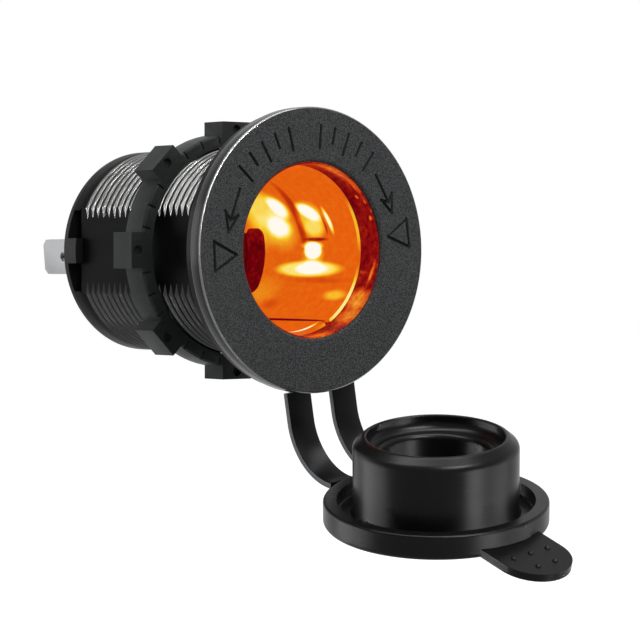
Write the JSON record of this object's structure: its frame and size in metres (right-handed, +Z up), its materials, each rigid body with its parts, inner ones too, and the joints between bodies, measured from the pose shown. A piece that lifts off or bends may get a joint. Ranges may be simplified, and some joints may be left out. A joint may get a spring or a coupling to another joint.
{
  "type": "waterproof power socket",
  "caption": "Round panel-mount power socket with a threaded barrel, a ring nut, blade terminals, a lit amber sleeve and a rubber plug cap on straps, drawn hanging open.",
  "frame": {"origin": "centre of the panel hole, in the plane of the panel's front face, which is the rear face of the sealing ring", "axes": "+Y along the socket's axis from the face towards the terminals, +Z up, +X to the right seen from the front"},
  "size_m": [0.038, 0.0865, 0.0582],
  "materials": {
    "housing_plastic": "fine grained moulded nylon with smooth flats",
    "amber_plastic": "translucent amber, lit from its rear end",
    "plated_shell": "bright plated sheet",
    "brown_board": "pressed phenolic board",
    "contact_brass": "plain brass",
    "tinned_brass": "bright tin plate",
    "plated_steel": "zinc plate",
    "pale_plastic": "plain moulded nylon",
    "lamp_resin": "tinted clear resin",
    "resistor_lacquer": "lacquered",
    "cover_plastic": "smooth moulded nylon",
    "nut_plastic": "satin moulded nylon",
    "black_rubber": "soft satin rubber"
  },
  "bodies": {
    "root": {"housing": "housing_plastic", "light_sleeve": "amber_plastic", "shell": "plated_shell", "base_insulator": "brown_board", "centre_contact": "contact_brass", "contact_rivet": "contact_brass", "positive_terminal": "tinned_brass", "negative_terminal": "tinned_brass", "negative_rivet": "plated_steel", "lamp_holder": "pale_plastic", "lamp": "lamp_resin", "resistor": "resistor_lacquer", "rear_cover": "cover_plastic", "sealing_ring": "black_rubber"},
    "nut": {"panel_nut": "nut_plastic"},
    "straps": {"strap_left": "black_rubber", "strap_right": "black_rubber"},
    "cap": {"cap": "black_rubber"}
  },
  "joints": [
    {"name": "cap_swing", "type": "hinge", "parent": "root", "child": "straps", "pos_m": [0.00311, -0.00365, -0.019], "axis": [0.9869, 0, 0.1616], "range_deg": [-100.2, 25], "stiffness_Nm_per_rad": 0.003, "springref_deg": -11.46, "deforming": ["strap_left", "strap_right"]},
    {"name": "cap_push", "type": "slide", "parent": "straps", "child": "cap", "axis": [-0.159, -0.1771, 0.9713], "range_m": [0, 0.0093]},
    {"name": "nut_travel", "type": "slide", "parent": "root", "child": "nut", "axis": [0, 1, 0], "range_m": [-0.0132, 0.0179]}
  ]
}
